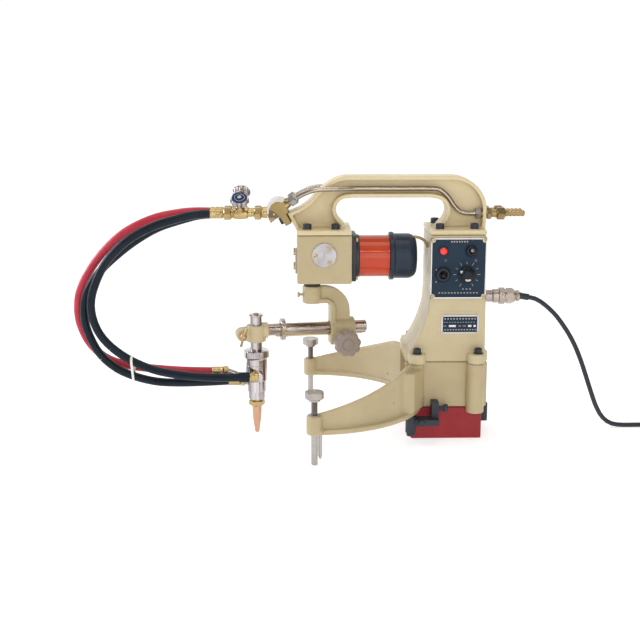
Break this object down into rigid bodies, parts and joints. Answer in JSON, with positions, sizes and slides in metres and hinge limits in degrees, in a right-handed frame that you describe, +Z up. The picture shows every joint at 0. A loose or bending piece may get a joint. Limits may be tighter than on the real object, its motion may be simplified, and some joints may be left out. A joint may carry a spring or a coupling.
{
  "type": "magnetic gas hole cutter",
  "caption": "Portable gas hole-cutting machine: magnet base, horseshoe legs, column with control panel, carrying handle, motor-driven swinging arm, cutting torch and hoses.",
  "frame": {"origin": "centre of the magnet's underside, which stands on the plate", "axes": "+X from the torch towards the power cable, +Y away from the control panel, +Z up"},
  "size_m": [0.892, 0.3048, 0.344],
  "materials": {
    "cream_enamel": "worn semi-gloss enamel on castings",
    "red_enamel": "satin enamel",
    "orange_enamel": "gloss enamel on the motor can",
    "black_steel": "black oxide and paint",
    "black_plastic": "moulded black",
    "chrome": "polished plating",
    "steel": "machined",
    "aluminium": "bare",
    "brass": "machined brass",
    "copper": null,
    "grey_plastic": "moulded grey-brown",
    "black_rubber": "smooth hose and cable rubber",
    "red_rubber": "smooth red hose rubber",
    "red_lens": "moulded red lens",
    "lead_sheath": "cloth-coloured wire sheath"
  },
  "bodies": {
    "base": {"magnet_housing": "red_enamel", "magnet_coil": "copper", "magnet_terminal_box": "black_steel", "leg_yoke": "cream_enamel", "column": "cream_enamel", "handle": "cream_enamel", "gearbox_housing": "cream_enamel", "gearbox_side_cover": "aluminium", "output_bearing": "steel", "shaft_seal": "black_rubber", "motor_flange": "black_plastic", "motor_can": "orange_enamel", "motor_end_cap": "black_plastic", "motor_lead": "lead_sheath", "control_panel": "black_steel", "indicator_lamp": "red_lens", "power_switch": "black_plastic", "direction_switch": "black_plastic", "name_plate": "aluminium", "mains_socket": "chrome", "cable_connector": "chrome", "power_cable": "black_rubber", "power_cable_coil": "black_rubber", "mains_plug": "black_plastic", "near_gas_pipe": "steel", "far_gas_pipe": "steel", "near_inlet_fitting": "brass", "far_inlet_fitting": "brass", "manifold_block": "brass", "near_valve_body": "brass", "far_valve_body": "brass", "third_outlet": "brass", "red_hose": "red_rubber", "upper_black_hose": "black_rubber", "lower_black_hose": "black_rubber", "release_bracket": "black_steel", "locating_pin": "steel"},
    "arm": {"output_shaft": "steel", "worm_wheel": "brass", "swing_bracket": "cream_enamel"},
    "cross_shaft": {"worm_shaft": "steel"},
    "rotor": {"motor_armature": "steel"},
    "bar": {"slide_bar": "chrome", "rack": "brass", "torch_clamp": "cream_enamel"},
    "collar": {"stop_collar": "chrome"},
    "lever": {"clamp_lever": "brass"},
    "torch": {"torch_body": "chrome", "nozzle_nut": "brass", "nozzle": "copper"},
    "knob": {"pinion_shaft": "steel", "radius_knob": "grey_plastic"},
    "near_foot": {"near_foot_screw": "steel"},
    "far_foot": {"far_foot_screw": "steel"},
    "near_wheel": {"near_valve_wheel": "steel"},
    "far_wheel": {"far_valve_wheel": "steel"},
    "speed": {"speed_knob": "black_plastic"},
    "power": {"power_lever": "chrome"},
    "direction": {"direction_lever": "black_plastic"},
    "jack": {"release_screw": "black_steel"}
  },
  "joints": [
    {"name": "arm_swing", "type": "hinge", "parent": "base", "child": "arm", "pos_m": [-0.176, 0, 0.18], "axis": [0, 0, 1], "continuous": true, "deforming": ["red_hose", "upper_black_hose", "lower_black_hose"]},
    {"name": "worm_turn", "type": "hinge", "parent": "base", "child": "cross_shaft", "pos_m": [-0.1625, 0, 0.2457], "axis": [0, 1, 0], "continuous": true},
    {"name": "motor_turn", "type": "hinge", "parent": "base", "child": "rotor", "pos_m": [-0.09, 0, 0.2384], "axis": [1, 0, 0], "continuous": true},
    {"name": "bar_slide", "type": "slide", "parent": "arm", "child": "bar", "axis": [-0.9848, -0.1736, 0], "range_m": [-0.05, 0.0175]},
    {"name": "radius_knob_turn", "type": "hinge", "parent": "arm", "child": "knob", "pos_m": [-0.13661, 0.00695, 0.1268], "axis": [0.1736, -0.9848, 0], "range_deg": [-600, 210]},
    {"name": "torch_lift", "type": "slide", "parent": "bar", "child": "torch", "axis": [0, 0, 1], "range_m": [-0.002, 0.011]},
    {"name": "collar_slide", "type": "slide", "parent": "bar", "child": "collar", "axis": [-0.9848, -0.1736, 0], "range_m": [-0.01, 0.015]},
    {"name": "clamp_lever_turn", "type": "hinge", "parent": "bar", "child": "lever", "pos_m": [-0.26906, -0.01641, 0.1375], "axis": [0.1736, -0.9848, 0], "range_deg": [-60, 60]},
    {"name": "near_foot_lift", "type": "slide", "parent": "base", "child": "near_foot", "axis": [0, 0, 1], "range_m": [-0.008, 0.03]},
    {"name": "far_foot_lift", "type": "slide", "parent": "base", "child": "far_foot", "axis": [0, 0, 1], "range_m": [-0.008, 0.03]},
    {"name": "near_valve_turn", "type": "hinge", "parent": "base", "child": "near_wheel", "pos_m": [-0.269, -0.0105, 0.296], "axis": [0, -0.6088, 0.7934], "range_deg": [0, 720]},
    {"name": "far_valve_turn", "type": "hinge", "parent": "base", "child": "far_wheel", "pos_m": [-0.269, 0.0105, 0.296], "axis": [0, 0.6088, 0.7934], "range_deg": [0, 720]},
    {"name": "speed_knob_turn", "type": "hinge", "parent": "base", "child": "speed", "pos_m": [0.0215, -0.0453, 0.2209], "axis": [0, -1, 0], "range_deg": [-80, 220]},
    {"name": "power_toggle", "type": "hinge", "parent": "base", "child": "power", "pos_m": [0.0265, -0.0425, 0.2515], "axis": [1, 0, 0], "range_deg": [0, 16]},
    {"name": "direction_toggle", "type": "hinge", "parent": "base", "child": "direction", "pos_m": [-0.009, -0.0425, 0.221], "axis": [1, 0, 0], "range_deg": [-12, 12]},
    {"name": "release_jack", "type": "slide", "parent": "base", "child": "jack", "axis": [0, 0, 1], "range_m": [-0.012, 0.0003]}
  ],
  "couplings": [
    {"joint": "worm_turn", "follows": "arm_swing", "ratio": 16},
    {"joint": "motor_turn", "follows": "arm_swing", "ratio": 48},
    {"joint": "radius_knob_turn", "follows": "bar_slide", "rad_per_m": 208.33}
  ]
}
